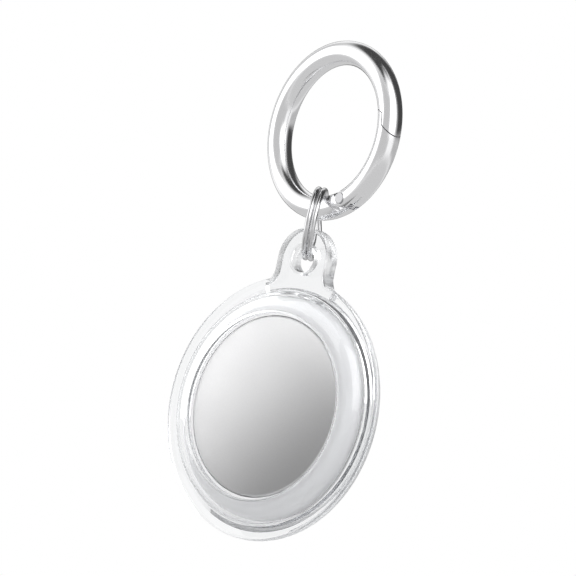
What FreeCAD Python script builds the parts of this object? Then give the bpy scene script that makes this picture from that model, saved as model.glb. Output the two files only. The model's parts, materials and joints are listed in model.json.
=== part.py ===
import FreeCAD, Part
import math
import os

# Clear round holder for a coin tracker tag, hung from a spring-gate ring by a two-turn split ring.
# Millimetres. +Z is up, the front faces -Y, and the origin is where the ring hangs: the top of its inside.

# General values
OVERRUN = 1.0                   # how far every cut runs past the face it opens
FULL_TURN = 360.0
TINY = 1e-9                     # below this a difference is nothing
UP = FreeCAD.Vector(0, 0, 1)
BACK = FreeCAD.Vector(0, 1, 0)
ACROSS = FreeCAD.Vector(1, 0, 0)
ORIGIN = FreeCAD.Vector(0, 0, 0)

# Coin tag, outside
tag_diameter = 31.9
tag_height = 8.0
tag_front_depth = 2.5           # from the cover's face back to the widest part
tag_rear_corner = 3.2           # corner between the side and the crowned back
tag_wall = 1.0
cover_proud = 0.15              # how far the steel cover stands above the white rim
tag_set_back = 0.5              # widest part of the tag behind the middle of the case's flange

# Holder: rear case and front bezel
tag_clearance = 0.15
case_wall = 0.9
flange_rim = 2.2                # from the socket's wall to the flange's edge
flange_thickness = 1.2
flange_edge_round = 0.45
flange_gusset = 0.7             # slope that stiffens the back of the flange
rest_diameter = 14.0            # flat spot on the back
lip_reach = 0.25                # how far the bezel's lip laps the flat of the tag's rim
opening_edge_round = 0.35
skirt_thickness = 0.5           # part of the bezel that plugs into the case
skirt_depth = 1.5
plug_clearance = 0.05
seat_gap = 0.05
seam_chamfer = 0.25             # bevel of the case's mouth, which shows as the line round the dome

# Lug that the split ring passes through
lug_width = 9.0
lug_thickness = 2.6
lug_neck = 2.65                 # from the flange's edge to the centre of the hole
lug_fillet = 2.5
lug_edge_round = 0.35
lug_sink = 0.4                  # how far inside the flange's edge the flare ends
lug_root = 1.55                 # how deep the lug runs into the flange
hole_chamfer = 0.3
hole_play = 0.15                # room beside the slanting pair of wires

# Split ring
link_wire = 0.75
link_diameter = 10.6            # outside
link_turn_gap = 0.45            # between its two turns
link_turn = 32.5                # degrees about Z from square to the lug
link_crossing = 30.0            # degrees on each side of where one turn crosses to the other
link_end_clear = 6.0            # degrees between a wire end and the crossing
link_steps = 4                  # spans in each flat turn
hang_clearance = 0.08           # between its wire and the lug's hole
swing_clearance = 0.03          # between its wire and the ring's bar, over the whole swing
link_swing = 90.0               # degrees forwards and backwards about the bar
swing_steps = 6
sample_count = 120              # points along the wire at which gaps are measured
halvings = 12                   # steps of the search for the link's height

# Spring-gate ring
ring_bend = 11.2                # radius of the bar's centre line
ring_bar = 3.46                 # diameter of the bar
ring_twist = -8.0               # degrees about Z from the plane of the case
pivot_angle = 149.0             # degrees clockwise from the top, seen from the front
nose_angle = 90.0               # outer end of the slanting joint at the nose
lip_angle = 74.5                # outer end of the lip's tip
gate_gap = 0.15
clear_share = 0.6               # of the bend: reach of blocks that must clear the bar

# Hinge of the gate
pin_diameter = 0.9
pin_proud = 0.05
pin_head_diameter = 1.6
pin_head_sink = 0.25            # how deep the heads sit in the gate's cheeks
pin_head_round = 0.1
pin_clearance = 0.04
knuckle_radius = 1.2            # round end of the gate's cheeks
knuckle_room = 0.7              # round the cheeks in the body
ear_inset = 0.1                 # from the round of the cheeks to the round of the ears
ear_end_gap = 0.25              # from the ears to the bottom of the gate's slot
ear_thickness = 0.42
spring_bay = 0.98               # between the ears
side_gap = 0.07
tongue_slope = 1.6              # length of the outer tongue's bevel for each unit of depth
tongue_start = 0.05             # from the pivot to the start of that bevel
leg_reach = 2.5                 # from the pivot to the bottom of the spring's channels

# Gate spring
spring_wire = 0.24
spring_coil_radius = 0.74
spring_turns = 2
spring_end_gap = 0.15

# Battery cover and its lock
cover_inset = 0.7               # from the flat of the tag's rim in to the cover's edge
cover_sheet = 0.4
cover_rim = 0.9                 # height of the turned-down rim, face included
cover_edge_round = 0.25
cover_clearance = 0.1
lock_wall = 1.8
lock_rim_clearance = 0.05
lock_depth = 1.65               # below the underside of the cover
tab_clearance = 0.07
tab_height = 0.42
tab_sweep = 24.0
ledge_height = 0.35
ledge_sweep = 40.0
ledge_clearance = 0.08          # above the tabs
ledge_side_clearance = 0.1
lock_count = 3
bayonet_wall = 0.5
bayonet_height = 1.15

# Coin cell
cell_side_gap = 0.65            # between the cell and the lock ring
cell_height_share = 0.4         # of the tag's height, as for the other heights inside the tag
cell_headroom = 0.15
cell_sheet = 0.25
cell_crimp = 0.65               # width of the can's turned-in edge
cell_cap_share = 0.75           # of the cell's height
cell_gasket_width = 0.55
cell_fill_clearance = 0.02

# Tray and contacts
contact_height_share = 0.044
contact_sheet = 0.12
contact_width = 0.9
contact_length = 2.4
contact_tip = 0.4               # radius of the raised tip's foot
contact_tip_gap = 0.03
tray_clearance = 0.3
tray_wall = 0.8
tray_floor_share = 0.0625
tray_lip_gap = 0.3              # below the lock ring
shell_seat = 0.12               # clearance of inner pieces to the shell

# Aerial
aerial_room = 2.3               # between its frame and the shell's side
aerial_clearance = 0.1
aerial_head_gap = 0.15          # below the bayonet ring
aerial_sheet = 0.1
aerial_margin = 0.25
aerial_sweep_angles = (150.0, 70.0, 60.0)
aerial_gap_angle = 25.0         # degrees between the strips

# Circuit board and its components, with widths as shares of the room beside the board's hole
board_share = 0.075
board_gap = 0.05
board_hole_share = 0.5          # of the board's radius
chip_height_share = 0.075
capacitor_height_share = 0.05
radio_chip_share = 0.85
ranging_chip_share = 0.75
memory_chip_share = 0.6
crystal_shares = (0.34, 0.55)
inductor_share = 0.45
capacitor_shares = (0.3, 0.15)
capacitor_count = 10
capacitor_first_angle = 200.0
capacitor_angle_step = 12.0
chip_angles = {"radio_chip": 20.0, "ranging_chip": 75.0, "memory_chip": 120.0, "crystal": 155.0,
               "inductor": 180.0}

# Sounder, with radii as shares of the board's
yoke_radius_share = 0.47
yoke_height_share = 0.0375
magnet_radius_share = 0.325
pole_height_share = 0.03
pole_gap = 0.4                  # between the pole plate and the shell
coil_gap = 0.25                 # between the magnet and the coil
coil_wall = 0.5
coil_height_share = 0.13
coil_seat = 0.04

# Worked out from the above: heights are forward of the middle of the flange
tag_radius = tag_diameter / 2
equator = -tag_set_back
front_corner = tag_front_depth - cover_proud
front_corner_centre = tag_radius - front_corner
rear_corner_centre = tag_radius - tag_rear_corner
tag_face = equator + tag_front_depth
rear_depth = tag_height - tag_front_depth
rim_top = tag_face - cover_proud
flange_front = flange_thickness / 2
flange_back = -flange_thickness / 2
case_offset = tag_clearance + case_wall
skirt_inner = tag_radius + tag_clearance
skirt_outer = skirt_inner + skirt_thickness
skirt_end = flange_front - skirt_depth
socket_radius = skirt_outer + plug_clearance
flange_radius = socket_radius + flange_rim
ledge_level = skirt_end - seat_gap

ring_radius = ring_bar / 2
ring_inside = ring_bend - ring_radius
link_wire_radius = link_wire / 2
link_bend = link_diameter / 2 - link_wire_radius
link_inside = link_bend - link_wire_radius
link_pitch = link_wire + link_turn_gap

recess_radius = knuckle_radius + knuckle_room
ear_radius = knuckle_radius - ear_inset
slot_reach = ear_radius + ear_end_gap

hole_land = lug_thickness - 2 * hole_chamfer
hole_half_span = ((link_pitch + link_wire) / 2 / math.cos(math.radians(link_turn))
                  + hole_land / 2 * math.tan(math.radians(link_turn)))
hole_radius = hole_half_span + hole_play
hole_seat = math.sqrt(hole_radius ** 2 - hole_half_span ** 2)
lug_reach = flange_radius + lug_neck
lug_middle = lug_thickness / 2 - flange_front

ring_place = FreeCAD.Placement(-UP * ring_inside, FreeCAD.Rotation(UP, ring_twist))
link_front = FreeCAD.Rotation(UP, link_turn).multVec(-BACK)

# The tag's stack, from the cover back to the sounder
cover_radius = front_corner_centre - cover_inset
cover_under = tag_face - cover_sheet
lock_outer = cover_radius - cover_sheet - lock_rim_clearance
lock_inner = lock_outer - lock_wall
lock_end = cover_under - lock_depth
bayonet_top = rim_top - tag_wall
bayonet_inner = front_corner_centre - bayonet_wall
cell_radius = lock_inner - cell_side_gap
cell_height = tag_height * cell_height_share
cell_top = cover_under - cell_headroom
cell_bottom = cell_top - cell_height
crimp_radius = cell_radius - cell_crimp
cap_radius = crimp_radius - cell_gasket_width
cap_top = cell_bottom + cell_height * cell_cap_share
contact_height = tag_height * contact_height_share
tray_top = cell_bottom - contact_height
tray_bottom = tray_top - tag_height * tray_floor_share
tray_inner = cell_radius + tray_clearance
tray_outer = tray_inner + tray_wall
aerial_inner = tray_outer + aerial_clearance
aerial_outer = tag_radius - tag_wall - aerial_room
aerial_top = bayonet_top - bayonet_height - aerial_head_gap - aerial_sheet
board_top = tray_bottom - board_gap
board_bottom = board_top - tag_height * board_share
chip_height = tag_height * chip_height_share
capacitor_height = tag_height * capacitor_height_share
yoke_bottom = tray_bottom - tag_height * yoke_height_share


class Outline:
    """Closed outline of a turned piece, drawn in radius and forward height with lines and arcs."""

    def __init__(self, radius, height):
        self.here = self.start = FreeCAD.Vector(radius, -height, 0)
        self.edges = []

    def line(self, radius, height):
        end = FreeCAD.Vector(radius, -height, 0)
        self.edges.append(Part.LineSegment(self.here, end).toShape())
        self.here = end
        return self

    def arc(self, centre, radius, height):
        """Arc about centre (radius, height), the short way, to the given point."""
        end = FreeCAD.Vector(radius, -height, 0)
        hub = FreeCAD.Vector(centre[0], -centre[1], 0)
        size = (self.here - hub).Length
        middle = hub + ((self.here - hub) + (end - hub)).normalize() * size
        self.edges.append(Part.Arc(self.here, middle, end).toShape())
        self.here = end
        return self

    def turn(self, sweep=FULL_TURN):
        if (self.here - self.start).Length > 0:
            self.edges.append(Part.LineSegment(self.here, self.start).toShape())
        solid = Part.Face(Part.Wire(self.edges)).revolve(ORIGIN, BACK, sweep)
        return solid if solid.Volume > 0 else solid.reversed()


def washer(inner, outer, low, high, sweep=FULL_TURN):
    """Flat ring, disc or part of a ring between two heights."""
    return Outline(inner, low).line(outer, low).line(outer, high).line(inner, high).turn(sweep)


def ring_of(piece, count):
    """Copies of a piece spaced evenly round the axis of the tag."""
    copies = []
    for index in range(count):
        copy = piece.copy()
        copy.rotate(ORIGIN, BACK, FULL_TURN * index / count)
        copies.append(copy)
    return copies


def join(shapes):
    """One solid made of touching shapes."""
    whole = shapes[0].fuse(shapes[1:]) if len(shapes) > 1 else shapes[0]
    return whole.removeSplitter()


def dome(offset, flat=0):
    """Back of the tag pushed out by offset: hub and radius of its crown, corner radius, where they meet."""
    corner = tag_rear_corner + offset
    depth = rear_depth + offset
    reach = rear_corner_centre - flat
    radius = (reach ** 2 + depth ** 2 - corner ** 2) / (2 * (depth - corner))
    hub = (flat, equator - depth + radius)
    share = radius / (radius - corner)
    meet = (hub[0] + reach * share, hub[1] + (equator - hub[1]) * share)
    return hub, radius, corner, meet


def dome_height(offset, radius):
    """Height of the crowned back, pushed out by offset, at a distance from the axis."""
    hub, crown, corner, meet = dome(offset)
    if radius > meet[0]:
        return equator - math.sqrt(corner ** 2 - (radius - rear_corner_centre) ** 2)
    return hub[1] - math.sqrt(crown ** 2 - radius ** 2)


def dome_radius(offset, height):
    """Distance from the axis at which the crowned back, pushed out by offset, has a height."""
    hub, crown, corner, meet = dome(offset)
    if height > meet[1]:
        return rear_corner_centre + math.sqrt(corner ** 2 - (height - equator) ** 2)
    return math.sqrt(crown ** 2 - (hub[1] - height) ** 2)


def front_bezel():
    inner = front_corner + tag_clearance
    outer = front_corner + case_offset
    hub = (front_corner_centre, equator)
    opening = front_corner_centre - lip_reach
    top = equator + outer
    seat = flange_front + seat_gap
    foot = front_corner_centre + math.sqrt(outer ** 2 - (seat - equator) ** 2)
    outline = Outline(opening, equator + inner)
    outline.line(front_corner_centre, equator + inner).arc(hub, skirt_inner, equator)
    outline.line(skirt_inner, skirt_end).line(skirt_outer, skirt_end).line(skirt_outer, seat).line(foot, seat)
    outline.arc(hub, front_corner_centre, top).line(opening + opening_edge_round, top)
    outline.arc((opening + opening_edge_round, top - opening_edge_round), opening, top - opening_edge_round)
    return outline.turn()


def case_cup():
    """Cup, socket and flange of the rear case, turned in one."""
    hub, crown, corner, meet = dome(tag_clearance)
    outline = Outline(0, hub[1] - crown).arc(hub, *meet)
    outline.arc((rear_corner_centre, equator), dome_radius(tag_clearance, ledge_level), ledge_level)
    outline.line(socket_radius, ledge_level).line(socket_radius, flange_front - seam_chamfer)
    outline.line(socket_radius + seam_chamfer, flange_front)
    edge = flange_radius - flange_edge_round
    outline.line(edge, flange_front)
    outline.arc((edge, flange_front - flange_edge_round), flange_radius, flange_front - flange_edge_round)
    outline.line(flange_radius, flange_back + flange_edge_round)
    outline.arc((edge, flange_back + flange_edge_round), edge, flange_back)
    slope_end = flange_back - flange_gusset
    wall = dome_radius(case_offset, slope_end)
    outline.line(wall + flange_gusset, flange_back).line(wall, slope_end)
    hub, crown, corner, meet = dome(case_offset, rest_diameter / 2)
    outline.arc((rear_corner_centre, equator), *meet).arc(hub, hub[0], hub[1] - crown)
    outline.line(0, hub[1] - crown)
    return outline.turn()


def case_lug():
    """Lug with a round end, flared into the flange, with its chamfered hole."""
    half = lug_width / 2
    spread = half + lug_fillet
    base = flange_radius - lug_sink
    level = math.sqrt((base + lug_fillet) ** 2 - spread ** 2)
    touch = base / (base + lug_fillet)
    root = (flange_radius - lug_root) / base

    def at(x, z):
        return FreeCAD.Vector(x, -flange_front, z)

    def flare(side):
        hub = at(side * spread, level)
        low = at(side * spread * touch, level * touch)
        high = at(side * half, level)
        return low, hub + ((low - hub) + (high - hub)).normalize() * lug_fillet, high

    left, right = flare(-1), flare(1)
    sunk_left = at(left[0].x * root, left[0].z * root)
    sunk_right = at(right[0].x * root, right[0].z * root)
    edges = [Part.LineSegment(sunk_left, left[0]), Part.Arc(*left),
             Part.LineSegment(left[2], at(-half, lug_reach)),
             Part.Arc(at(-half, lug_reach), at(0, lug_reach + half), at(half, lug_reach)),
             Part.LineSegment(at(half, lug_reach), right[2]), Part.Arc(*reversed(right)),
             Part.LineSegment(right[0], sunk_right),
             Part.Arc(sunk_right, at(0, flange_radius - lug_root), sunk_left)]
    plate = Part.Face(Part.Wire([edge.toShape() for edge in edges])).extrude(BACK * lug_thickness)
    rims = [edge for edge in plate.Edges if edge.BoundBox.YLength < lug_edge_round
            and edge.BoundBox.ZMin > (left[0].z + sunk_left.z) / 2]
    plate = plate.makeFillet(lug_edge_round, rims)
    middle = FreeCAD.Vector(0, -flange_front, lug_reach)
    drill = Part.makeCylinder(hole_radius, lug_thickness + 2 * OVERRUN, middle - BACK * OVERRUN, BACK)
    wide = hole_radius + hole_chamfer
    front = Part.makeCone(wide, hole_radius, hole_chamfer, middle, BACK)
    far_side = middle + BACK * (lug_thickness - hole_chamfer)
    back = Part.makeCone(hole_radius, wide, hole_chamfer, far_side, BACK)
    return plate.cut(drill).cut(front).cut(back)


def rear_case():
    return join([case_cup(), case_lug()])


def ring_point(angle, radius):
    turn = math.radians(angle)
    return FreeCAD.Vector(radius * math.sin(turn), 0, radius * math.cos(turn))


PIVOT = ring_point(pivot_angle, ring_bend)
INWARD = ring_point(pivot_angle, -1)
ALONG = BACK.cross(INWARD)
FAR = ring_bend * clear_share


def hinge_point(along, inward):
    """Place given from the pivot: along the bar towards the nose, and inwards to the ring's centre."""
    return PIVOT + ALONG * along + INWARD * inward


def slab(points, thickness):
    """Flat block in the ring's plane, centred on it."""
    ring = [point - BACK * (thickness / 2) for point in points]
    return Part.Face(Part.makePolygon(ring + ring[:1])).extrude(BACK * thickness)


def hinge_block(along, inward, thickness):
    """Block at the hinge between two places along the bar and two places inwards."""
    corners = [(along[0], inward[0]), (along[1], inward[0]), (along[1], inward[1]), (along[0], inward[1])]
    return slab([hinge_point(*corner) for corner in corners], thickness)


def hinge_disc(radius, thickness):
    return Part.makeCylinder(radius, thickness, PIVOT - BACK * (thickness / 2), BACK)


def bar():
    return Part.makeTorus(ring_bend, ring_radius, ORIGIN, BACK)


def gate_space(gap):
    """Room that the gate takes in the ring, shaped to let it swing, and grown by gap for the body's cut."""
    deep = ring_bar + 2 * OVERRUN

    def swing_line(corner):
        reach = corner - PIVOT
        ahead = FreeCAD.Vector(reach).normalize()
        return corner + ahead * gap, BACK.cross(ahead)

    nose, nose_run = swing_line(ring_point(nose_angle, ring_bend + ring_radius))
    tip, tip_run = swing_line(ring_point(lip_angle, ring_bend))
    cheek = -(knuckle_radius + gap)
    arm = slab([nose + nose_run * FAR, nose - nose_run * FAR,
                hinge_point(-gap, FAR), hinge_point(-gap, cheek), hinge_point(tongue_start - gap, cheek),
                hinge_point(tongue_start - gap + tongue_slope * FAR, cheek - FAR),
                ring_point((nose_angle + pivot_angle) / 2, ring_bend + FAR)], deep)
    lip = slab([tip + tip_run * ring_radius, tip - tip_run * FAR, nose - nose_run * FAR, nose], deep)
    lip = lip.common(Part.makeCylinder(ring_bend + gap, deep, -BACK * (deep / 2), BACK))
    return arm.fuse(lip)


def pin_heads(radius, sunk, proud):
    """A disc on each side of the bar, from a depth below its sides to a height above them."""
    whole = hinge_disc(radius, ring_bar + 2 * proud)
    return whole.cut(hinge_disc(radius + OVERRUN, ring_bar - 2 * sunk))


def clip_gate():
    deep = ring_bar + 2 * OVERRUN
    ears = spring_bay + 2 * (ear_thickness + side_gap)
    gate = bar().common(gate_space(0).fuse(hinge_disc(knuckle_radius, deep)))
    gate = gate.cut(hinge_block((-FAR, slot_reach), (-FAR, FAR), ears))
    channel = spring_coil_radius + spring_wire
    gate = gate.cut(hinge_block((0, leg_reach), (-channel, FAR), spring_bay))
    gate = gate.cut(hinge_disc(pin_diameter / 2 + pin_clearance, deep))
    sunk = pin_head_sink + pin_clearance
    return gate.cut(pin_heads(pin_head_diameter / 2 + pin_clearance, sunk, OVERRUN)).removeSplitter()


def clip_ring_body():
    deep = ring_bar + 2 * OVERRUN
    ears = spring_bay + 2 * ear_thickness
    cheek = knuckle_radius + gate_gap
    recess = hinge_disc(recess_radius, deep).common(hinge_block((-FAR, FAR), (-cheek, FAR), deep))
    body = bar().cut(gate_space(gate_gap)).cut(recess)
    root = hinge_block((-recess_radius - OVERRUN, 0), (-cheek - OVERRUN, ear_radius), ears)
    tongue = bar().common(hinge_disc(ear_radius, ears).fuse(root))
    body = body.fuse(tongue)
    channel = spring_coil_radius + spring_wire
    body = body.cut(hinge_block((-leg_reach, FAR), (-channel, FAR), spring_bay))
    return body.cut(hinge_disc(pin_diameter / 2, deep)).removeSplitter()


def gate_pivot_pin():
    """Rivet with a flat head let into each of the gate's cheeks."""
    shaft = hinge_disc(pin_diameter / 2, ring_bar + 2 * pin_proud)
    pin = join([shaft, pin_heads(pin_head_diameter / 2, pin_head_sink, pin_proud)])
    rims = [edge for edge in pin.Edges if abs(edge.CenterOfMass.y) > ring_radius and edge.isClosed()]
    return pin.makeFillet(pin_head_round, rims)


def biarc(start, heading, end, leaving):
    """Two arcs from start to end that leave and arrive in the given directions."""
    span = end - start
    bend = heading + leaving
    square = bend.dot(bend) - 4
    slant = span.dot(bend)
    if abs(square) < TINY:
        reach = span.dot(span) / (2 * slant)
    else:
        reach = (slant - math.sqrt(slant ** 2 - square * span.dot(span))) / square
    before = start + heading * reach
    after = end - leaving * reach
    middle = (before + after) / 2
    edges = []
    for first, corner, last in ((start, before, middle), (middle, after, end)):
        half = (first + last) / 2
        rise = (corner - half).Length
        chord = (last - first).Length / 2
        sag = chord * math.tan(math.atan2(rise, chord) / 2)
        crown = half + (corner - half).normalize() * sag
        edges.append(Part.Arc(first, crown, last).toShape())
    return edges


def wire_tube(edges, diameter):
    """Round wire swept along a path of edges."""
    path = Part.Wire(edges)
    start = path.Edges[0].firstVertex().Point
    heading = path.Edges[0].tangentAt(path.Edges[0].FirstParameter)
    section = Part.Wire([Part.Circle(start, heading, diameter / 2).toShape()])
    return path.makePipeShell([section], True, False)


def link_place(angle):
    """Point and direction of the split ring's wire, about its centre, at an angle in degrees along it."""
    side = link_front.cross(UP)
    turn = math.radians(angle)
    stray = (angle - FULL_TURN) / link_crossing
    across, rate = math.copysign(1, stray), 0
    if abs(stray) < 1:
        across = math.sin(stray * math.pi / 2)
        rate = math.cos(stray * math.pi / 2) * math.pi / 2 / math.radians(link_crossing)
    point = (UP * math.sin(turn) - link_front * math.cos(turn)) * link_bend
    heading = (UP * math.cos(turn) + link_front * math.sin(turn)) * link_bend
    return point + side * (across * link_pitch / 2), (heading + side * (rate * link_pitch / 2)).normalize()


def link_stations():
    """Angles along the wire where its spans meet: a flat turn, the crossing, and a flat turn."""
    first = link_crossing + link_end_clear
    last = FULL_TURN - link_crossing
    turn = [first + (last - first) * step / link_steps for step in range(link_steps + 1)]
    return turn + [FULL_TURN] + [2 * FULL_TURN - angle for angle in reversed(turn)]


def link_samples():
    """Close-set points along the wire, each with its angle."""
    ends = link_stations()
    angles = [ends[0] + (ends[-1] - ends[0]) * step / sample_count for step in range(sample_count + 1)]
    return [(angle, link_place(angle)[0]) for angle in angles]


def split_ring():
    stations = [link_place(angle) for angle in link_stations()]
    edges = []
    for (start, heading), (end, leaving) in zip(stations, stations[1:]):
        edges += biarc(start, heading, end, leaving)
    return wire_tube(edges, link_wire)


def least_link_gap():
    """Smallest gap between stretches of the split ring's wire that lie over half a turn apart along it."""
    points = link_samples()
    gaps = [(b - a).Length for first, a in points for second, b in points if second - first > FULL_TURN / 2]
    return min(gaps) - link_wire


def link_room(height):
    """Least gap between the ring's bar and the wire over the link's swing, with its centre at a height."""
    to_ring = ring_place.inverse()
    rest = [to_ring.multVec(point + UP * height) + UP * ring_bend for angle, point in link_samples()]
    gaps = []
    for step in range(-swing_steps, swing_steps + 1):
        swing = FreeCAD.Rotation(ACROSS, link_swing * step / swing_steps)
        for spot in rest:
            moved = swing.multVec(spot) - UP * ring_bend
            gaps.append(math.hypot(math.hypot(moved.x, moved.z) - ring_bend, moved.y))
    return min(gaps) - ring_radius - link_wire_radius


def link_height():
    """Height of the link's centre at which its wire just clears the bar that it hangs on."""
    low = -2 * ring_inside - link_inside
    high = low + 2 * link_wire
    for halving in range(halvings):
        middle = (low + high) / 2
        if link_room(middle) < swing_clearance:
            low = middle
        else:
            high = middle
    return high


def gate_spring():
    """Torsion spring on the pin: a leg in the body's channel, the coil, and a leg in the gate's channel."""
    rise = spring_bay - spring_wire - 2 * spring_end_gap
    leg = leg_reach - spring_end_gap

    def coil_place(share):
        turn = math.radians(FULL_TURN * spring_turns * share)
        spot = hinge_point(spring_coil_radius * math.sin(turn), -spring_coil_radius * math.cos(turn))
        ease = (1 - math.cos(math.pi * share)) / 2
        climb = math.sin(math.pi * share) / 2 * rise / (2 * spring_turns * spring_coil_radius)
        heading = ALONG * math.cos(turn) + INWARD * math.sin(turn) + BACK * climb
        return spot + BACK * (rise * ease - rise / 2), heading.normalize()

    spans = 4 * spring_turns
    stations = [coil_place(span / spans) for span in range(spans + 1)]
    first, last = stations[0][0], stations[-1][0]
    edges = [Part.LineSegment(first - ALONG * leg, first).toShape()]
    for (start, heading), (end, leaving) in zip(stations, stations[1:]):
        edges += biarc(start, heading, end, leaving)
    edges.append(Part.LineSegment(last, last + ALONG * leg).toShape())
    return wire_tube(edges, spring_wire)


def tag_shell():
    hub, crown, corner, meet = dome(0)
    mouth = cover_radius + cover_clearance
    outline = Outline(0, hub[1] - crown).arc(hub, *meet)
    outline.arc((rear_corner_centre, equator), tag_radius, equator)
    outline.arc((front_corner_centre, equator), front_corner_centre, rim_top).line(mouth, rim_top)
    outline.line(mouth, bayonet_top).line(front_corner_centre, bayonet_top)
    outline.arc((front_corner_centre, equator), tag_radius - tag_wall, equator)
    hub, crown, corner, meet = dome(-tag_wall)
    outline.arc((rear_corner_centre, equator), *meet).arc(hub, 0, hub[1] - crown)
    return outline.turn()


def bayonet_ring():
    tube = washer(bayonet_inner, front_corner_centre, bayonet_top - bayonet_height, bayonet_top)
    root = bayonet_inner + bayonet_wall / 2
    reach = lock_outer + ledge_side_clearance
    ledge = washer(reach, root, bayonet_top - ledge_height, bayonet_top, ledge_sweep)
    ledge.rotate(ORIGIN, BACK, -ledge_sweep / 2)
    return join([tube] + ring_of(ledge, lock_count))


def battery_cover():
    rim_end = tag_face - cover_rim
    edge = cover_radius - cover_edge_round
    bore = cover_radius - cover_sheet
    outline = Outline(0, tag_face).line(edge, tag_face)
    outline.arc((edge, tag_face - cover_edge_round), cover_radius, tag_face - cover_edge_round)
    outline.line(cover_radius, rim_end).line(bore, rim_end).line(bore, cover_under).line(0, cover_under)
    return outline.turn()


def cover_lock_ring():
    tube = washer(lock_inner, lock_outer, lock_end, cover_under)
    top = bayonet_top - ledge_height - ledge_clearance
    root = lock_outer - lock_wall / 2
    tab = washer(root, bayonet_inner - tab_clearance, top - tab_height, top, tab_sweep)
    tab.rotate(ORIGIN, BACK, -tab_sweep / 2)
    return join([tube] + ring_of(tab, lock_count))


def cell_can():
    bore = cell_radius - cell_sheet
    lip = cell_bottom + cell_sheet
    outline = Outline(0, cell_top).line(cell_radius, cell_top).line(cell_radius, cell_bottom)
    outline.line(crimp_radius, cell_bottom).line(crimp_radius, lip).line(bore, lip)
    outline.line(bore, cell_top - cell_sheet).line(0, cell_top - cell_sheet)
    return outline.turn()


def cell_cap():
    bore = cap_radius - cell_sheet
    sheet_top = cell_bottom + cell_sheet
    outline = Outline(0, cell_bottom).line(cap_radius, cell_bottom).line(cap_radius, cap_top)
    outline.line(bore, cap_top).line(bore, sheet_top).line(0, sheet_top)
    return outline.turn()


def cell_gasket():
    return washer(cap_radius, crimp_radius, cell_bottom, cap_top)


def cell_core():
    radius = cap_radius - cell_sheet - cell_fill_clearance
    return washer(0, radius, cell_bottom + cell_sheet, cell_top - cell_sheet)


def battery_tray():
    edge = dome_radius(-tag_wall - shell_seat, tray_bottom)
    lip = lock_end - tray_lip_gap
    outline = Outline(0, tray_bottom).line(edge, tray_bottom).line(edge, tray_top)
    outline.line(tray_outer, tray_top).line(tray_outer, lip).line(tray_inner, lip)
    outline.line(tray_inner, tray_top).line(0, tray_top)
    return outline.turn()


def block(size, low, high, centre):
    """Rectangular block on the tag: size across X and Z, between two heights, centred at (X, Z)."""
    corner = FreeCAD.Vector(centre[0] - size[0] / 2, -high, centre[1] - size[1] / 2)
    return Part.makeBox(size[0], high - low, size[1], corner)


def contact(centre):
    """Leaf contact: a strip on the tray's floor with a rounded tip under the cell."""
    strip = block((contact_length, contact_width), tray_top, tray_top + contact_sheet, centre)
    tip = Part.makeCone(contact_tip, contact_tip / 2, contact_height - contact_tip_gap,
                        FreeCAD.Vector(centre[0], -tray_top, centre[1]), -BACK)
    return join([strip, tip])


def positive_contacts():
    reach = cell_radius - cell_crimp / 2
    return Part.makeCompound([contact((0, reach)), contact((0, -reach))])


def negative_contact():
    return contact((0, 0))


def antenna_frame():
    return washer(aerial_inner, aerial_outer, tray_top, aerial_top)


def antenna_strips():
    inner = aerial_inner + aerial_margin
    outer = aerial_outer - aerial_margin
    strips = []
    start = 0
    for sweep in aerial_sweep_angles:
        strip = washer(inner, outer, aerial_top, aerial_top + aerial_sheet, sweep)
        strip.rotate(ORIGIN, BACK, start)
        strips.append(strip)
        start += sweep + aerial_gap_angle
    return Part.makeCompound(strips)


def board_edge():
    return dome_radius(-tag_wall - shell_seat, board_bottom)


def board_hole():
    return board_edge() * board_hole_share


def circuit_board():
    return washer(board_hole(), board_edge(), board_bottom, board_top)


def component(shares, height, angle):
    """Part soldered under the board, as far out as the shell's dome lets it go."""
    reach = dome_radius(-tag_wall - shell_seat, board_bottom - height)
    length, width = [(reach - board_hole()) * share for share in shares]
    middle = math.sqrt(reach ** 2 - (width / 2) ** 2) - length / 2
    piece = block((length, width), board_bottom - height, board_bottom, (middle, 0))
    piece.rotate(ORIGIN, BACK, angle)
    return piece


def square_chip(name, share):
    return component((share, share), chip_height, chip_angles[name])


def crystal():
    return component(crystal_shares, chip_height, chip_angles["crystal"])


def capacitors():
    angles = [capacitor_first_angle + capacitor_angle_step * index for index in range(capacitor_count)]
    return Part.makeCompound([component(capacitor_shares, capacitor_height, angle) for angle in angles])


def magnet_radius():
    return board_edge() * magnet_radius_share


def pole_bottom():
    return dome_height(-tag_wall, magnet_radius()) + pole_gap


def pole_top():
    return pole_bottom() + tag_height * pole_height_share


def speaker_yoke():
    return washer(0, board_edge() * yoke_radius_share, yoke_bottom, tray_bottom)


def speaker_magnet():
    return washer(0, magnet_radius(), pole_top(), yoke_bottom)


def speaker_pole_plate():
    return washer(0, magnet_radius(), pole_bottom(), pole_top())


def voice_coil():
    inner = magnet_radius() + coil_gap
    outer = inner + coil_wall
    low = dome_height(-tag_wall, outer) + coil_seat
    return washer(inner, outer, low, low + tag_height * coil_height_share)


RING_PIECES = {
    "clip_ring_body": clip_ring_body(),
    "clip_gate": clip_gate(),
    "gate_pivot_pin": gate_pivot_pin(),
    "gate_spring": gate_spring(),
}

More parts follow.
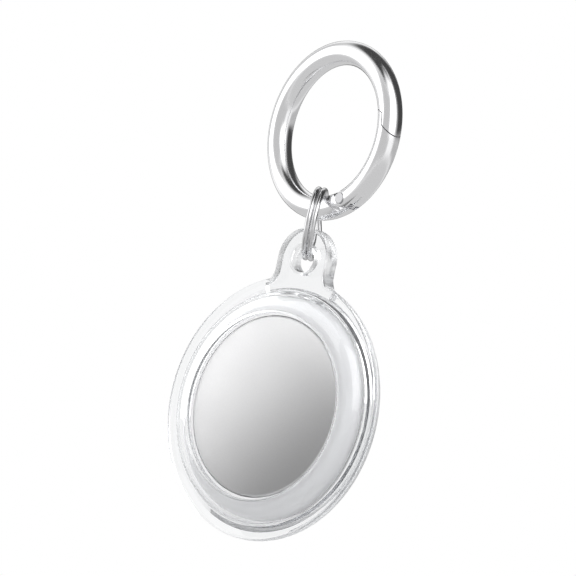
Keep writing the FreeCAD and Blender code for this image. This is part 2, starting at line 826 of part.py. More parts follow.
CASE_PIECES = {
    "rear_case": rear_case(),
    "front_bezel": front_bezel(),
    "tag_shell": tag_shell(),
    "bayonet_ring": bayonet_ring(),
    "battery_cover": battery_cover(),
    "cover_lock_ring": cover_lock_ring(),
    "cell_can": cell_can(),
    "cell_cap": cell_cap(),
    "cell_gasket": cell_gasket(),
    "cell_core": cell_core(),
    "battery_tray": battery_tray(),
    "positive_contacts": positive_contacts(),
    "negative_contact": negative_contact(),
    "antenna_frame": antenna_frame(),
    "antenna_strips": antenna_strips(),
    "circuit_board": circuit_board(),
    "radio_chip": square_chip("radio_chip", radio_chip_share),
    "ranging_chip": square_chip("ranging_chip", ranging_chip_share),
    "memory_chip": square_chip("memory_chip", memory_chip_share),
    "crystal": crystal(),
    "inductor": square_chip("inductor", inductor_share),
    "capacitors": capacitors(),
    "speaker_yoke": speaker_yoke(),
    "speaker_magnet": speaker_magnet(),
    "speaker_pole_plate": speaker_pole_plate(),
    "voice_coil": voice_coil(),
}


def main():
    link_z = link_height()
    hole_z = link_z - link_inside + hang_clearance - hole_seat
    case_z = hole_z - lug_reach
    case_place = FreeCAD.Vector(0, -lug_middle, case_z)
    pieces = {"split_ring": split_ring().translated(UP * link_z)}
    for name, piece in RING_PIECES.items():
        pieces[name] = piece.transformed(ring_place.toMatrix())
    for name, piece in CASE_PIECES.items():
        pieces[name] = piece.translated(case_place)
    os.makedirs("parts", exist_ok=True)
    for name, piece in pieces.items():
        piece.exportStep("parts/" + name + ".step")
        print(name, len(piece.Solids), piece.isValid(), round(piece.Volume, 3))
    print("least gap between the split ring's turns", round(least_link_gap(), 3))
    print("gate pivot", ring_place.multVec(PIVOT))
    print("heights of the link's centre, the lug's hole and the case's axis", link_z, hole_z, case_z)


main()
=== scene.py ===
import json
import math
from typing import NamedTuple

import bmesh
import bpy
from bpy.props import FloatProperty, FloatVectorProperty, IntProperty, PointerProperty
from mathutils import Matrix, Vector


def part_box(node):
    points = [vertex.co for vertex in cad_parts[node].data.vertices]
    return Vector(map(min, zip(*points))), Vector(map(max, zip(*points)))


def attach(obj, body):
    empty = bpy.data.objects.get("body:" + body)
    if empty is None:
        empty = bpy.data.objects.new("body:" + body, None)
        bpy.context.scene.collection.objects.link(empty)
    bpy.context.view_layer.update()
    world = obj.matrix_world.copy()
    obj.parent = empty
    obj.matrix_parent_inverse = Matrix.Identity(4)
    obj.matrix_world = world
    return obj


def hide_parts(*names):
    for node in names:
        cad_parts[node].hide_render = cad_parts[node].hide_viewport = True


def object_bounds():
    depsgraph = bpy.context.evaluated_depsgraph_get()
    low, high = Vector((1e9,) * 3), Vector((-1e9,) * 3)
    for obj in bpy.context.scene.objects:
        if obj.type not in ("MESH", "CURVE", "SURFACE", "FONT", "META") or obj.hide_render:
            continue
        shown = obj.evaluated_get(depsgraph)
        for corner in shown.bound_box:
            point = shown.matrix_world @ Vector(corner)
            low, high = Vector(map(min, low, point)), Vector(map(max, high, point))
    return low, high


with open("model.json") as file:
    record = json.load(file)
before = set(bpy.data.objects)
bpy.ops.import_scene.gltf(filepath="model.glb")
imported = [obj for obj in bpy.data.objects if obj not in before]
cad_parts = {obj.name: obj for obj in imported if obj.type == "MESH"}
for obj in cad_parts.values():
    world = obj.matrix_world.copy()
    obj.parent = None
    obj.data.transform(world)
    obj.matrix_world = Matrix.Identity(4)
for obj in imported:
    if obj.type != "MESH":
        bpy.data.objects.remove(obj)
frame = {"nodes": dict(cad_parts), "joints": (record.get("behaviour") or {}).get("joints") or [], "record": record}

bl_info = {
    "name": "Tracker Tag Holder",
    "version": (1, 0, 0),
    "blender": (4, 5, 0),
    "location": "3D View > Sidebar > Tag Holder",
    "description": "Finishes, split ring, stage and camera for a clear tracker tag holder",
    "category": "Object",
}

CAD_BOX = [list(corner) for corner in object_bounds()]
NODES = frame["nodes"]
JOINTS = {joint["name"]: joint for joint in frame["joints"]}
RECORD_COLOURS = {
    entry["slot"]: tuple(entry["base_color"][:3])
    for entry in frame["record"]["materials"]
}

MM = 0.001
UM = 0.000001
UP = Vector((0.0, 0.0, 1.0))
WHITE = (1.0, 1.0, 1.0, 1.0)

# Where a Mix node has its two values and its result, for each kind of value.
MIX_SOCKETS = {"VECTOR": (4, 5, 1), "RGBA": (6, 7, 2)}

# How far a point may lie from the ring's round bar and still be shaded as part of it.
BAR_TOLERANCE = 40.0 * UM
# The largest share of a wall's normal that points to the front or the back.
WALL_FACING = 0.5
# The share of a point's depth that counts as radius, so that turned lines go on along the sides.
LINE_CLIMB = 0.7
# The size of one cell of the board's tracks.
TRACK_CELL = 0.9 * MM


def middle(node):
    """The middle of a node's box."""
    low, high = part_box(node)
    return (low + high) / 2


CASE_MIDDLE = middle("tag_shell")
LINK_MIDDLE = middle("split_ring")


def colour(name, description, value=None):
    """A colour property that starts at this value, or else at the record's slot of its name."""
    return FloatVectorProperty(
        name=name.replace("_", " ").capitalize(),
        description=description,
        subtype="COLOR",
        size=3,
        min=0.0,
        max=1.0,
        default=value or RECORD_COLOURS[name],
    )


def length(name, description, millimetres):
    """A length property, given in millimetres."""
    return FloatProperty(
        name=name,
        description=description,
        subtype="DISTANCE",
        unit="LENGTH",
        precision=6,
        default=millimetres * MM,
    )


def share(name, description, value):
    """A property between nothing and one."""
    return FloatProperty(
        name=name,
        description=description,
        subtype="FACTOR",
        min=0.0,
        max=1.0,
        default=value,
    )


def angle(name, description, degrees):
    """An angle property, given in degrees."""
    return FloatProperty(
        name=name,
        description=description,
        subtype="ANGLE",
        unit="ROTATION",
        default=math.radians(degrees),
    )


class HolderFinishes(bpy.types.PropertyGroup):
    """Colours and surface sizes of the pieces."""

    polished_steel: colour(
        "polished_steel", "Colour of the ring and its gate", (0.92, 0.92, 0.93)
    )
    link_steel: colour("link_steel", "Colour of the split ring's wire", (0.72, 0.72, 0.73))
    rivet_steel: colour("rivet_steel", "Colour of the gate's rivet", (0.45, 0.45, 0.46))
    spring_steel: colour("spring_steel", "Colour of the gate spring's wire")
    clear_plastic: colour(
        "clear_plastic", "Tint of the clear case and bezel", (0.985, 0.99, 0.995)
    )
    clear_depth_tint: colour(
        "clear_depth_tint", "Tint of the clear plastic where it is thick", (0.34, 0.35, 0.37)
    )
    white_plastic: colour("white_plastic", "Colour of the tag's shell")
    satin_steel: colour("satin_steel", "Colour of the tag's steel cover", (0.86, 0.86, 0.865))
    inner_plastic: colour("inner_plastic", "Colour of the tag's inner mouldings")
    cell_steel: colour("cell_steel", "Colour of the coin cell's can and cap")
    gasket: colour("gasket", "Colour of the coin cell's seal")
    cell_fill: colour("cell_fill", "Colour of the coin cell's filling")
    contact_metal: colour("contact_metal", "Colour of the cell's leaf contacts")
    aerial_metal: colour("aerial_metal", "Colour of the aerial strips")
    board: colour("board", "Colour of the board's solder mask")
    chip_black: colour("chip_black", "Colour of the moulded chips")
    component_metal: colour("component_metal", "Colour of the crystal's can")
    component_grey: colour("component_grey", "Colour of the fired components")
    magnet_steel: colour("magnet_steel", "Colour of the sounder's plated steel")
    coil_copper: colour("coil_copper", "Colour of the sounder's winding")
    clear_ior: FloatProperty(
        name="Clear plastic index",
        description="Index of refraction of the clear plastic",
        min=1.0,
        max=2.0,
        default=1.49,
    )
    clear_density: FloatProperty(
        name="Clear plastic density",
        description="How fast the depth tint builds up, per metre",
        min=0.0,
        default=45.0,
    )
    face_roughness: share("Face roughness", "Roughness of the clear plastic's faces", 0.025)
    wall_roughness: share("Wall roughness", "Roughness of its outer walls", 0.34)
    wall_reach: length("Wall reach", "Distance from the tag's axis to those walls", 18.0)
    satin_grain: length("Satin grain", "Width of one grain of the steel cover", 0.11)
    satin_grain_depth: length("Satin depth", "Depth of that grain", 0.0022)
    smear_size: length("Smear size", "Size of a faint smear on polished steel", 4.0)
    ripple_size: length("Ripple size", "Width of the slow waves in moulded plastic", 3.5)
    ripple_depth: length("Ripple depth", "Depth of those waves", 0.0015)


class HolderLink(bpy.types.PropertyGroup):
    """Sizes of the split ring that is shown."""

    wire: length("Wire", "Thickness of the split ring's wire", 0.78)
    pitch: length("Pitch", "Distance between the middles of its two turns", 0.8)
    facing: angle("Facing", "Angle between the split ring's front and the case's front", 32.5)
    first_end: angle("First end", "Where the wire starts, from the back of the ring", 36.0)
    last_end: angle("Last end", "Where the wire ends, from the back of the ring", 684.0)
    jog: angle("Jog", "Half of the turn in which the wire steps over", 30.0)
    stations: IntProperty(
        name="Stations", description="Sections along the wire", default=216, min=24
    )
    sides: IntProperty(
        name="Sides", description="Faces around the wire", default=20, min=8
    )


class HolderStage(bpy.types.PropertyGroup):
    """The camera, the floor and the even light."""

    azimuth: angle("Azimuth", "How far round to the right the camera stands", 40.2)
    elevation: angle("Elevation", "How far above the horizon the camera stands", -3.65)
    lean: angle("Lean", "How far the object leans to the right in the picture", 11.85)
    distance: length("Camera distance", "Distance from the camera to the object", 1200.0)
    picture_width: length("Picture width", "Width of the picture at the object", 81.1)
    aim_right: length("Aim right", "From the tag to the picture's middle, rightwards", 0.82)
    aim_up: length("Aim up", "From the tag to the picture's middle, upwards", 17.33)
    floor_drop: length("Floor drop", "From the object's lowest point to the floor", 130.0)
    ambient: share("Ambient", "Strength of the world's even light on matt surfaces", 0.5)


class Tree:
    """Short calls for adding and joining the nodes of one tree."""

    def __init__(self, tree):
        self.tree = tree

    def add(self, kind, settings=None, **inputs):
        node = self.tree.nodes.new(kind)
        for name, value in (settings or {}).items():
            setattr(node, name, value)
        for name, value in inputs.items():
            self.feed(node.inputs[name.replace("_", " ")], value)
        return node

    def feed(self, socket, value):
        if isinstance(value, bpy.types.NodeSocket):
            self.tree.links.new(value, socket)
        else:
            socket.default_value = value

    def math(self, operation, *values):
        node = self.add("ShaderNodeMath", {"operation": operation})
        for socket, value in zip(node.inputs, values):
            self.feed(socket, value)
        return node.outputs[0]

    def spread(self, value, low, high, from_low=0.0, from_high=1.0):
        node = self.add(
            "ShaderNodeMapRange",
            {"interpolation_type": "SMOOTHSTEP"},
            Value=value,
            From_Min=from_low,
            From_Max=from_high,
            To_Min=low,
            To_Max=high,
        )
        return node.outputs[0]

    def blend(self, factor, first, second, kind="RGBA"):
        node = self.add("ShaderNodeMix", {"data_type": kind})
        first_socket, second_socket, result = MIX_SOCKETS[kind]
        for index, value in ((0, factor), (first_socket, first), (second_socket, second)):
            self.feed(node.inputs[index], value)
        return node.outputs[result]

    def vector(self, operation, *values):
        node = self.add("ShaderNodeVectorMath", {"operation": operation})
        for socket, value in zip(node.inputs, values):
            self.feed(socket, value)
        return node.outputs["Value" if operation == "LENGTH" else "Vector"]

    def place(self):
        return self.add("ShaderNodeTexCoord").outputs["Object"]

    def noise(self, vector, scale, detail=2.0, rough=0.5):
        node = self.add(
            "ShaderNodeTexNoise", Vector=vector, Scale=scale, Detail=detail, Roughness=rough
        )
        return node.outputs[0]

    def bump(self, height, depth, **normal):
        node = self.add("ShaderNodeBump", Strength=1.0, Distance=depth, Height=height, **normal)
        return node.outputs[0]

    def effect(self, group, **inputs):
        node = self.add("ShaderNodeGroup", {"node_tree": group}, **inputs)
        return node.outputs


def new_group(name, inputs, outputs):
    """A shader node group with these float inputs and outputs, and its tree."""
    group = bpy.data.node_groups.new(name, "ShaderNodeTree")
    for label, default in inputs.items():
        socket = group.interface.new_socket(
            label, in_out="INPUT", socket_type="NodeSocketFloat"
        )
        socket.default_value = default
    for label in outputs:
        group.interface.new_socket(label, in_out="OUTPUT", socket_type="NodeSocketFloat")
    tree = Tree(group)
    given = tree.add("NodeGroupInput").outputs
    wanted = tree.add("NodeGroupOutput").inputs
    return group, tree, given, wanted


def handling_marks():
    """Faint smears and fine rubbing marks on a handled surface."""
    name = "handling_marks"
    if name in bpy.data.node_groups:
        return bpy.data.node_groups[name]
    group, tree, given, wanted = new_group(
        name,
        {"Smear Size": 0.004, "Clean": 0.05, "Smeared": 0.1, "Rub Size": 0.0002},
        ("Roughness", "Rub"),
    )
    place = tree.place()
    smear_scale = tree.math("DIVIDE", 1.0, given["Smear Size"])
    smears = tree.noise(place, smear_scale, detail=4.0, rough=0.6)
    rough = tree.spread(
        smears, given["Clean"], given["Smeared"], from_low=0.4, from_high=0.72
    )
    rub_scale = tree.math("DIVIDE", 1.0, given["Rub Size"])
    stretch = tree.add(
        "ShaderNodeMapping", Vector=place, Rotation=(0.3, 0.2, 0.6), Scale=(1.0, 0.12, 1.0)
    )
    rub = tree.noise(stretch.outputs[0], rub_scale)
    tree.feed(wanted["Roughness"], rough)
    tree.feed(wanted["Rub"], rub)
    return group


def fine_grain():
    """An even, sandy grain with a slow drift in its strength."""
    name = "fine_grain"
    if name in bpy.data.node_groups:
        return bpy.data.node_groups[name]
    group, tree, given, wanted = new_group(
        name, {"Grain Size": 0.0001, "Drift Size": 0.004}, ("Grain", "Drift")
    )
    place = tree.place()
    grain_scale = tree.math("DIVIDE", 1.0, given["Grain Size"])
    drift_scale = tree.math("DIVIDE", 1.0, given["Drift Size"])
    grain = tree.noise(place, grain_scale, detail=3.0, rough=0.65)
    drift = tree.noise(place, drift_scale)
    tree.feed(wanted["Grain"], grain)
    tree.feed(wanted["Drift"], drift)
    return group


def mould_skin():
    """The slow waves and the faint orange peel of a moulded surface."""
    name = "mould_skin"
    if name in bpy.data.node_groups:
        return bpy.data.node_groups[name]
    group, tree, given, wanted = new_group(
        name,
        {"Ripple Size": 0.0035, "Peel Size": 0.0004, "Peel Share": 0.08},
        ("Skin",),
    )
    place = tree.place()
    ripple_scale = tree.math("DIVIDE", 1.0, given["Ripple Size"])
    peel_scale = tree.math("DIVIDE", 1.0, given["Peel Size"])
    ripple = tree.noise(place, ripple_scale, detail=1.0, rough=0.4)
    peel = tree.noise(place, peel_scale, detail=1.0)
    skin = tree.math("MULTIPLY_ADD", peel, given["Peel Share"], ripple)
    tree.feed(wanted["Skin"], skin)
    return group


def turned_lines():
    """Fine rings about the tag's axis, as a turned or drawn piece has."""
    name = "turned_lines"
    if name in bpy.data.node_groups:
        return bpy.data.node_groups[name]
    group, tree, given, wanted = new_group(name, {"Line Pitch": 0.0002}, ("Line",))
    offset = tree.vector("SUBTRACT", tree.place(), CASE_MIDDLE)
    part = tree.add("ShaderNodeSeparateXYZ", Vector=offset).outputs
    across = tree.math("MULTIPLY", part["X"], part["X"])
    radius = tree.math("SQRT", tree.math("MULTIPLY_ADD", part["Z"], part["Z"], across))
    depth = tree.math("MULTIPLY_ADD", part["Y"], LINE_CLIMB, radius)
    steps = tree.math("DIVIDE", depth, given["Line Pitch"])
    lines = tree.add(
        "ShaderNodeTexNoise", {"noise_dimensions": "1D"}, W=steps, Scale=1.0, Detail=2.0
    )
    tree.feed(wanted["Line"], lines.outputs[0])
    return group


class Finish:
    """One material with its shader, ready for its own detail."""

    def __init__(self, name, base, metallic=0.0):
        self.material = bpy.data.materials.new(name)
        self.material.use_nodes = True
        self.material.node_tree.nodes.clear()
        self.tree = Tree(self.material.node_tree)
        self.shader = self.tree.add("ShaderNodeBsdfPrincipled", Metallic=metallic)
        self.output = self.tree.add("ShaderNodeOutputMaterial", Surface=self.shader.outputs[0])
        self.base = (*base, 1.0)
        self.set("Base Color", self.base)

    def set(self, name, value):
        self.tree.feed(self.shader.inputs[name], value)

    def shade(self, factor, low, high):
        """The base colour runs between these two shares of itself."""
        first, second = (
            tuple(min(1.0, channel * part) for channel in self.base[:3]) + (1.0,)
            for part in (low, high)
        )
        self.set("Base Color", self.tree.blend(factor, first, second))

    def drift_roughness(self, noise, low, high):
        """The roughness runs between these two values over a noise's usual range."""
        spread = self.tree.spread(noise, low, high, from_low=0.3, from_high=0.7)
        self.set("Roughness", spread)

    def relief(self, height, depth, **normal):
        self.set("Normal", self.tree.bump(height, depth, **normal))


def dress(finish, *names):
    """Gives the finish to these CAD nodes."""
    for name in names:
        materials = NODES[name].data.materials
        materials.clear()
        materials.append(finish.material)


def finishes():
    return bpy.context.scene.tag_holder_finishes


def bar_normal(tree):
    """The even normal of the ring's round bar. The faces cut into the bar keep their own."""
    axis = Vector(JOINTS["gate_swing"]["axis"])
    centre = UP * middle("clip_ring_body").z
    bend = (centre - Vector(JOINTS["link_swing"]["pos_m"])).length
    offset = tree.vector("SUBTRACT", tree.place(), centre)
    flat = tree.vector("SUBTRACT", offset, tree.vector("PROJECT", offset, axis))
    core = tree.vector("MULTIPLY", tree.vector("NORMALIZE", flat), (bend, bend, bend))
    outward = tree.vector("SUBTRACT", offset, core)
    turned = tree.add(
        "ShaderNodeVectorTransform",
        {"vector_type": "NORMAL", "convert_from": "OBJECT", "convert_to": "WORLD"},
        Vector=tree.vector("NORMALIZE", outward),
    ).outputs[0]
    low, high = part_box("clip_ring_body")
    radius = (high.z - low.z) / 2 - bend
    on_bar = tree.math("COMPARE", tree.vector("LENGTH", outward), radius, BAR_TOLERANCE)
    own = tree.add("ShaderNodeNewGeometry").outputs["Normal"]
    return tree.blend(on_bar, own, turned, "VECTOR")


def polished_steel(name, base, on_bar=False):
    """Mirror-polished steel with faint smears and rubbing marks."""
    finish = Finish(name, base, metallic=1.0)
    marks = finish.tree.effect(
        handling_marks(),
        Smear_Size=finishes().smear_size,
        Clean=0.13,
        Smeared=0.19,
        Rub_Size=0.25 * MM,
    )
    finish.set("Roughness", marks["Roughness"])
    normal = {"Normal": bar_normal(finish.tree)} if on_bar else {}
    finish.relief(marks["Rub"], depth=0.12 * UM, **normal)
    return finish


def spring_wire():
    """Drawn wire, a little dull."""
    finish = Finish("spring_steel", finishes().spring_steel, metallic=1.0)
    marks = finish.tree.effect(
        handling_marks(), Smear_Size=1.5 * MM, Clean=0.22, Smeared=0.4, Rub_Size=0.08 * MM
    )
    finish.set("Roughness", marks["Roughness"])
    finish.relief(marks["Rub"], depth=1.0 * UM)
    return finish


def outer_walls(tree, reach):
    """A mask of the walls that stand further than this from the tag's axis."""
    offset = tree.vector("SUBTRACT", tree.place(), CASE_MIDDLE)
    flat = tree.vector("MULTIPLY", offset, (1.0, 0.0, 1.0))
    outside = tree.math("GREATER_THAN", tree.vector("LENGTH", flat), reach)
    own = tree.add("ShaderNodeTexCoord").outputs["Normal"]
    facing = tree.add("ShaderNodeSeparateXYZ", Vector=own).outputs["Y"]
    upright = tree.math("LESS_THAN", tree.math("ABSOLUTE", facing), WALL_FACING)
    return tree.math("MULTIPLY", outside, upright)


def clear_plastic():
    """Clear moulded plastic with slow waves in its skin and duller outer walls."""
    values = finishes()
    finish = Finish("clear_plastic", values.clear_plastic)
    tree = finish.tree
    finish.set("IOR", values.clear_ior)
    finish.set("Transmission Weight", 1.0)
    skin = tree.effect(
        mould_skin(), Ripple_Size=values.ripple_size, Peel_Size=0.5 * MM, Peel_Share=0.01
    )
    finish.relief(skin["Skin"], depth=values.ripple_depth)
    walls = outer_walls(tree, values.wall_reach)
    finish.set("Roughness", tree.spread(walls, values.face_roughness, values.wall_roughness))
    tint = tree.add(
        "ShaderNodeVolumeAbsorption",
        Color=(*values.clear_depth_tint, 1.0),
        Density=values.clear_density,
    )
    tree.feed(finish.output.inputs["Volume"], tint.outputs[0])
    return finish


def white_plastic():
    """Glossy white moulded plastic."""
    finish = Finish("white_plastic", finishes().white_plastic)
    skin = finish.tree.effect(mould_skin(), Ripple_Size=2.5 * MM, Peel_Size=0.3 * MM)
    marks = finish.tree.effect(
        handling_marks(), Smear_Size=5.0 * MM, Clean=0.15, Smeared=0.24
    )
    finish.set("Roughness", marks["Roughness"])
    finish.shade(marks["Rub"], low=0.985, high=1.0)
    finish.relief(skin["Skin"], depth=1.5 * UM)
    return finish


def satin_steel():
    """Fine blasted steel, satin all over."""
    values = finishes()
    finish = Finish("satin_steel", values.satin_steel, metallic=1.0)
    grain = finish.tree.effect(
        fine_grain(), Grain_Size=values.satin_grain, Drift_Size=5.0 * MM
    )
    finish.drift_roughness(grain["Drift"], low=0.4, high=0.425)
    finish.shade(grain["Grain"], low=0.93, high=1.07)
    finish.relief(grain["Grain"], depth=values.satin_grain_depth)
    return finish


def matt_moulding(name, base, grain_size, low=0.9, high=1.05):
    """A matt moulding with a fine spark-eroded grain."""
    finish = Finish(name, base)
    grain = finish.tree.effect(fine_grain(), Grain_Size=grain_size, Drift_Size=3.0 * MM)
    finish.drift_roughness(grain["Drift"], low=0.42, high=0.62)
    finish.shade(grain["Grain"], low, high)
    finish.relief(grain["Grain"], depth=4.0 * UM)
    return finish


def turned_metal(name, base, pitch, clean=0.2, smeared=0.34):
    """Drawn or turned metal with rings about the tag's axis."""
    finish = Finish(name, base, metallic=1.0)
    line = finish.tree.effect(turned_lines(), Line_Pitch=pitch)["Line"]
    marks = finish.tree.effect(
        handling_marks(), Smear_Size=3.0 * MM, Clean=clean, Smeared=smeared
    )
    finish.set("Roughness", marks["Roughness"])
    finish.shade(line, low=0.9, high=1.05)
    finish.relief(line, depth=1.2 * UM)
    return finish


def plated_leaf(name, base):
    """Thin plated sheet metal with rubbing marks."""
    finish = Finish(name, base, metallic=1.0)
    marks = finish.tree.effect(
        handling_marks(), Smear_Size=1.2 * MM, Clean=0.16, Smeared=0.32, Rub_Size=0.06 * MM
    )
    finish.set("Roughness", marks["Roughness"])
    finish.shade(marks["Rub"], low=0.88, high=1.06)
    finish.relief(marks["Rub"], depth=0.8 * UM)
    return finish


def solder_mask():
    """A board's lacquer over raised tracks."""
    finish = Finish("board", finishes().board)
    tree = finish.tree
    cells = tree.add(
        "ShaderNodeTexVoronoi",
        {"feature": "DISTANCE_TO_EDGE", "distance": "EUCLIDEAN"},
        Vector=tree.place(),
        Scale=1.0 / TRACK_CELL,
    )
    track = tree.spread(cells.outputs[0], 1.0, 0.0, from_low=0.08, from_high=0.14)
    finish.shade(track, low=0.85, high=1.7)
    marks = tree.effect(handling_marks(), Smear_Size=2.0 * MM, Clean=0.28, Smeared=0.42)
    finish.set("Roughness", marks["Roughness"])
    finish.relief(track, depth=18.0 * UM)
    return finish


def copper_winding():
    """Enamelled copper wire wound in close turns."""
    finish = Finish("coil_copper", finishes().coil_copper, metallic=1.0)
    line = finish.tree.effect(turned_lines(), Line_Pitch=0.07 * MM)["Line"]
    finish.shade(line, low=0.6, high=1.15)
    finish.drift_roughness(line, low=0.42, high=0.24)
    finish.relief(line, depth=20.0 * UM)
    return finish


def mesh_piece(name, mesh):
    """A new object for this mesh, in the scene, with smooth faces."""
    for face in mesh.polygons:
        face.use_smooth = True
    piece = bpy.data.objects.new(name, mesh)
    bpy.context.scene.collection.objects.link(piece)
    return piece


def wire_mesh(name, points, normals, radius, sides, cap_rings=5):
    """A closed round wire through the points, with domed ends."""
    mesh = bpy.data.meshes.new(name)
    made = bmesh.new()

    def ring(centre, along, across, size):
        other = along.cross(across)
        turns = [2.0 * math.pi * index / sides for index in range(sides)]
        return [
            made.verts.new(
                centre + size * (across * math.cos(turn) + other * math.sin(turn))
            )
            for turn in turns
        ]

    tangents = []
    for index in range(len(points)):
        before = points[max(index - 1, 0)]
        after = points[min(index + 1, len(points) - 1)]
        tangents.append((after - before).normalized())

    def domed(end, way, step):
        turn = math.pi / 2 * step / (cap_rings + 1)
        centre = points[end] + tangents[end] * way * radius * math.cos(turn)
        return centre, tangents[end], normals[end], radius * math.sin(turn)

    sections = [domed(0, -1.0, step) for step in range(1, cap_rings + 1)]
    for point, tangent, normal in zip(points, tangents, normals):
        across = (normal - tangent * normal.dot(tangent)).normalized()
        sections.append((point, tangent, across, radius))
    sections += [domed(-1, 1.0, step) for step in range(cap_rings, 0, -1)]
    rings = [ring(*section) for section in sections]
    for first, second in zip(rings, rings[1:]):
        for index in range(sides):
            following = (index + 1) % sides
            made.faces.new(
                (first[index], first[following], second[following], second[index])
            )
    first_tip = made.verts.new(points[0] - tangents[0] * radius)
    last_tip = made.verts.new(points[-1] + tangents[-1] * radius)
    for index in range(sides):
        following = (index + 1) % sides
        made.faces.new((first_tip, rings[0][following], rings[0][index]))
        made.faces.new((last_tip, rings[-1][index], rings[-1][following]))
    bmesh.ops.recalc_face_normals(made, faces=made.faces)
    made.to_mesh(mesh)
    made.free()
    return mesh


def split_ring_piece():
    """Two close turns of one wire, in the split ring's place."""
    values = bpy.context.scene.tag_holder_link
    low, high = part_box("split_ring")
    bend = (high.z - low.z) / 2 - values.wire / 2
    front = Vector((math.sin(values.facing), -math.cos(values.facing), 0.0))
    side = front.cross(UP)
    points = []
    normals = []
    for index in range(values.stations + 1):
        way = index / values.stations
        turn = values.first_end + (values.last_end - values.first_end) * way
        outward = UP * math.sin(turn) - front * math.cos(turn)
        step = (turn - 2.0 * math.pi) / values.jog
        across = math.sin(math.pi / 2 * max(-1.0, min(1.0, step)))
        points.append(LINK_MIDDLE + outward * bend + side * across * values.pitch / 2)
        normals.append(outward)
    return mesh_piece(
        "split_ring_wire",
        wire_mesh("split_ring_wire", points, normals, values.wire / 2, values.sides),
    )


class TAG_HOLDER_OT_spring_ring(bpy.types.Operator):
    """Polish the spring-gate ring, its gate, its pin and its spring"""

    bl_idname = "tag_holder.spring_ring"
    bl_label = "Spring-gate ring"

    def execute(self, context):
        steel = finishes().polished_steel
        dress(polished_steel("polished_bar", steel, True), "clip_ring_body", "clip_gate")
        dress(polished_steel("polished_rivet", finishes().rivet_steel), "gate_pivot_pin")
        dress(spring_wire(), "gate_spring")
        return {"FINISHED"}


class TAG_HOLDER_OT_split_ring(bpy.types.Operator):
    """Wind the two-turn split ring"""

    bl_idname = "tag_holder.split_ring"
    bl_label = "Split ring"

    def execute(self, context):
        piece = split_ring_piece()
        finish = polished_steel("polished_wire", finishes().link_steel)
        piece.data.materials.append(finish.material)
        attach(piece, "link")
        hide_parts("split_ring")
        return {"FINISHED"}


class TAG_HOLDER_OT_clear_case(bpy.types.Operator):
    """Finish the clear case and the clear bezel"""

    bl_idname = "tag_holder.clear_case"
    bl_label = "Clear case and bezel"

    def execute(self, context):
        dress(clear_plastic(), "rear_case", "front_bezel")
        return {"FINISHED"}


class TAG_HOLDER_OT_tag_shell(bpy.types.Operator):
    """Finish the tag's white shell and its inner mouldings"""

    bl_idname = "tag_holder.tag_shell"
    bl_label = "Tag shell"

    def execute(self, context):
        dress(white_plastic(), "tag_shell")
        inner = matt_moulding("inner_plastic", finishes().inner_plastic, 0.09 * MM)
        dress(inner, "bayonet_ring", "cover_lock_ring", "battery_tray", "antenna_frame")
        return {"FINISHED"}


class TAG_HOLDER_OT_steel_cover(bpy.types.Operator):
    """Finish the tag's satin steel cover"""

    bl_idname = "tag_holder.steel_cover"
    bl_label = "Steel cover"

    def execute(self, context):
        dress(satin_steel(), "battery_cover")
        return {"FINISHED"}


class TAG_HOLDER_OT_coin_cell(bpy.types.Operator):
    """Finish the coin cell and its contacts"""

    bl_idname = "tag_holder.coin_cell"
    bl_label = "Coin cell"

    def execute(self, context):
        values = finishes()
        dress(turned_metal("cell_steel", values.cell_steel, 0.12 * MM), "cell_can", "cell_cap")
        dress(matt_moulding("gasket", values.gasket, 0.06 * MM), "cell_gasket")
        fill = matt_moulding("cell_fill", values.cell_fill, 0.05 * MM, low=0.6, high=1.5)
        dress(fill, "cell_core")
        leaf = plated_leaf("contact_metal", values.contact_metal)
        dress(leaf, "positive_contacts", "negative_contact")
        return {"FINISHED"}


class TAG_HOLDER_OT_circuit(bpy.types.Operator):
    """Finish the aerial, the board and its components"""

    bl_idname = "tag_holder.circuit"
    bl_label = "Circuit and aerial"

    def execute(self, context):
        values = finishes()
        dress(plated_leaf("aerial_metal", values.aerial_metal), "antenna_strips")
        dress(solder_mask(), "circuit_board")
        chips = matt_moulding("chip_black", values.chip_black, 0.05 * MM, low=0.7, high=1.4)
        dress(chips, "radio_chip", "ranging_chip", "memory_chip")
        dress(plated_leaf("component_metal", values.component_metal), "crystal")
        fired = matt_moulding(
            "component_grey", values.component_grey, 0.07 * MM, low=0.8, high=1.15
        )
        dress(fired, "inductor", "capacitors")
        return {"FINISHED"}


class TAG_HOLDER_OT_sounder(bpy.types.Operator):
    """Finish the sounder's steel, magnet and winding"""

    bl_idname = "tag_holder.sounder"
    bl_label = "Sounder"

    def execute(self, context):
        steel = turned_metal(
            "magnet_steel", finishes().magnet_steel, 0.15 * MM, clean=0.24, smeared=0.4
        )
        dress(steel, "speaker_yoke", "speaker_magnet", "speaker_pole_plate")
        dress(copper_winding(), "voice_coil")
        return {"FINISHED"}


class Lamp(NamedTuple):
    """A soft rectangular lamp, placed by its azimuth and elevation in degrees."""

    name: str
    azimuth: float
    elevation: float
    sides: tuple
    radiance: float
    mirrored: bool = False


class Card(NamedTuple):
    """A curved card that fills these azimuths and elevations in degrees."""

    name: str
    azimuths: tuple
    elevations: tuple
    grey: float
    feathers: tuple
    through: bool = False
    reach: float = 0.7


# Clear plastic turns light inside itself many times before it lets it out.
LIGHT_BOUNCES = 32

